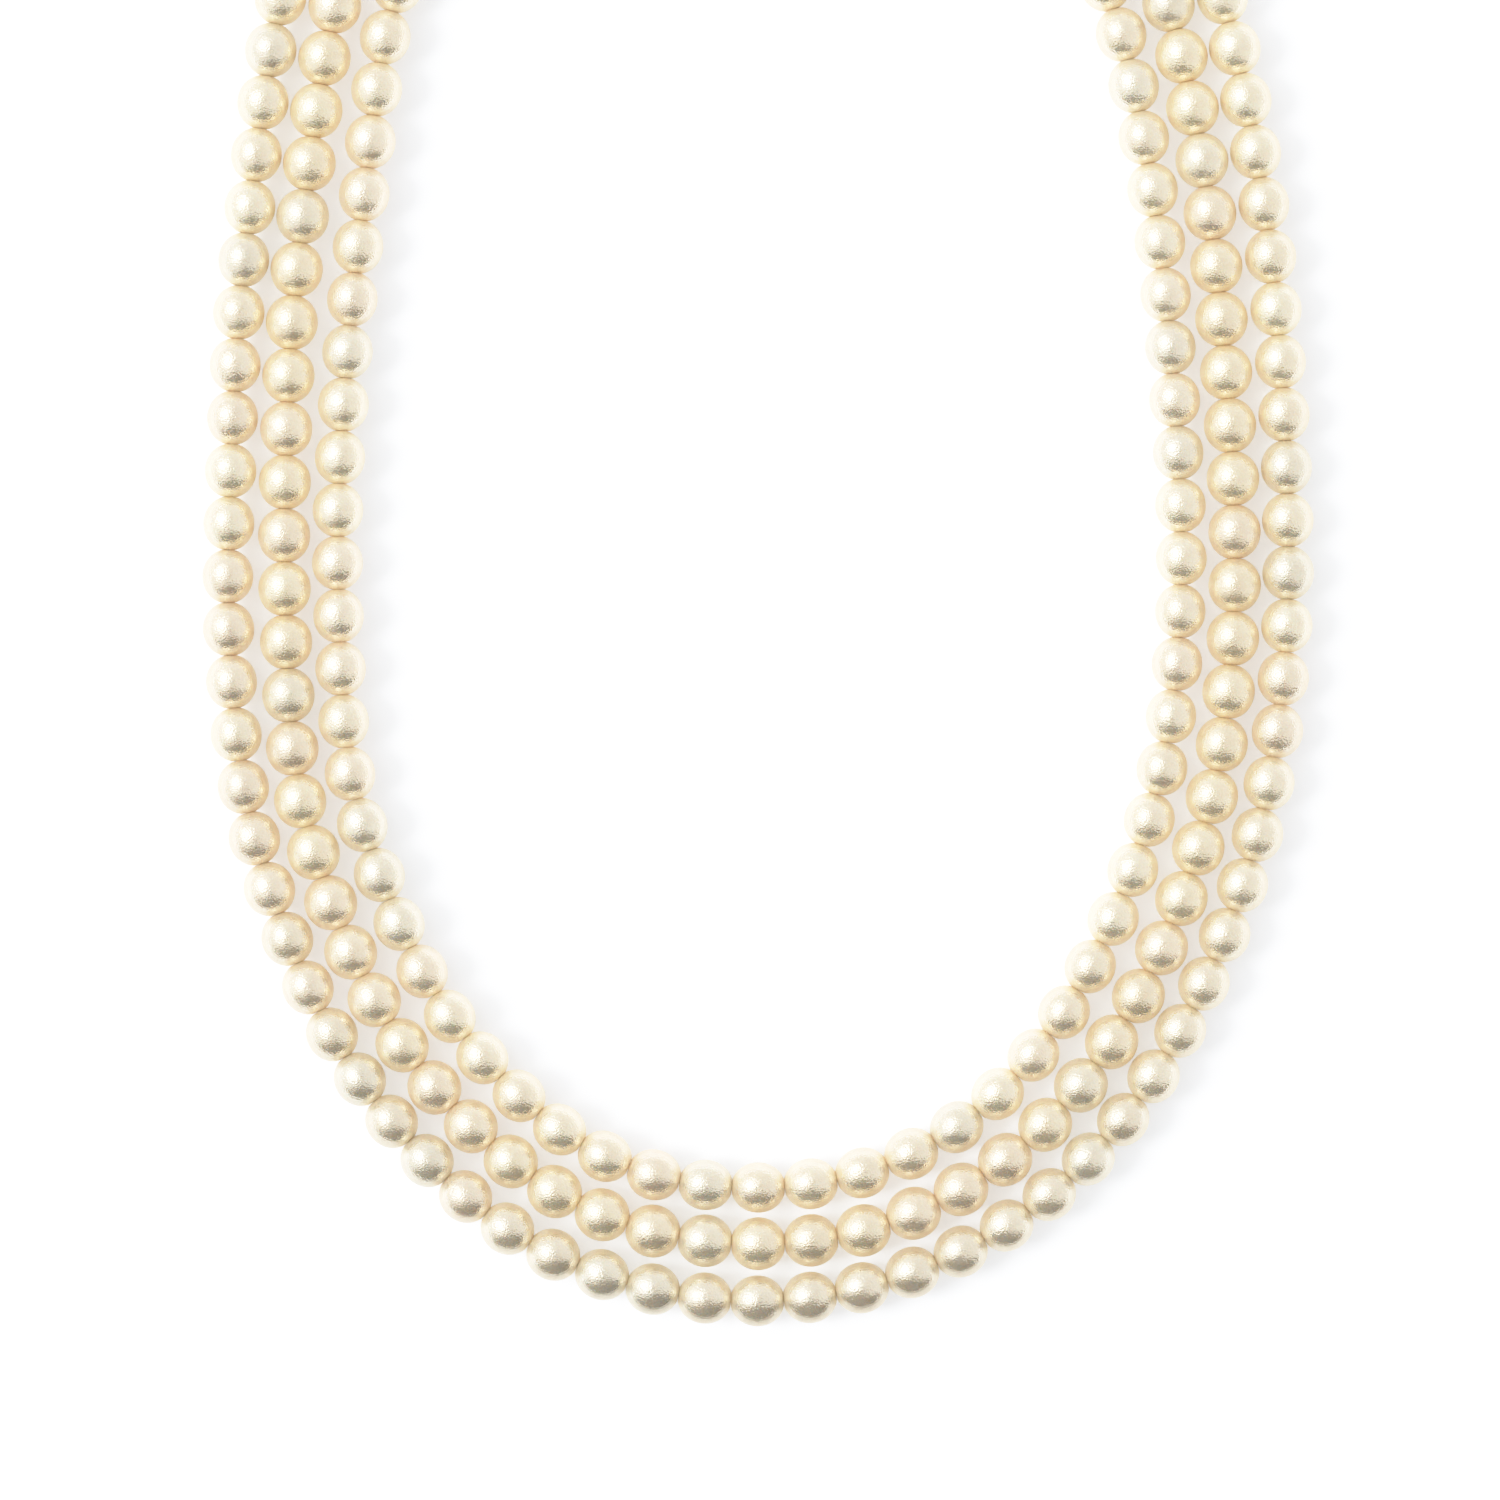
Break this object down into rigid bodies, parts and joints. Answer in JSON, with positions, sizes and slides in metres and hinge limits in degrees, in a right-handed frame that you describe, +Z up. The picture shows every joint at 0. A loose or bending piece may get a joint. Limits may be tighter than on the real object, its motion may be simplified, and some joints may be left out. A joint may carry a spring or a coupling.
{
  "type": "three strand pearl necklace",
  "caption": "Closed multi strand necklace of round pearls, laid flat: strands side by side in a loop, each on its own thread, joined at a clasp at the back.",
  "frame": {"origin": "on the surface that the necklace lies on, under the middle of its outline", "axes": "+Z up from that surface, +Y from the front of the necklace to the clasp, +X to the right as the picture shows it"},
  "size_m": [0.1288, 0.2022, 0.006],
  "materials": {
    "pearl_outer": "pearl lacquer, champagne",
    "pearl_middle": "pearl lacquer, warm cream",
    "pearl_inner": "pearl lacquer, pale cream",
    "thread": "twisted silk",
    "clasp_metal": "polished gold plate"
  },
  "bodies": {
    "root": {"pearls_outer": "pearl_outer", "pearls_middle": "pearl_middle", "pearls_inner": "pearl_inner", "thread_outer": "thread", "thread_middle": "thread", "thread_inner": "thread", "clasp": "clasp_metal"}
  },
  "joints": []
}
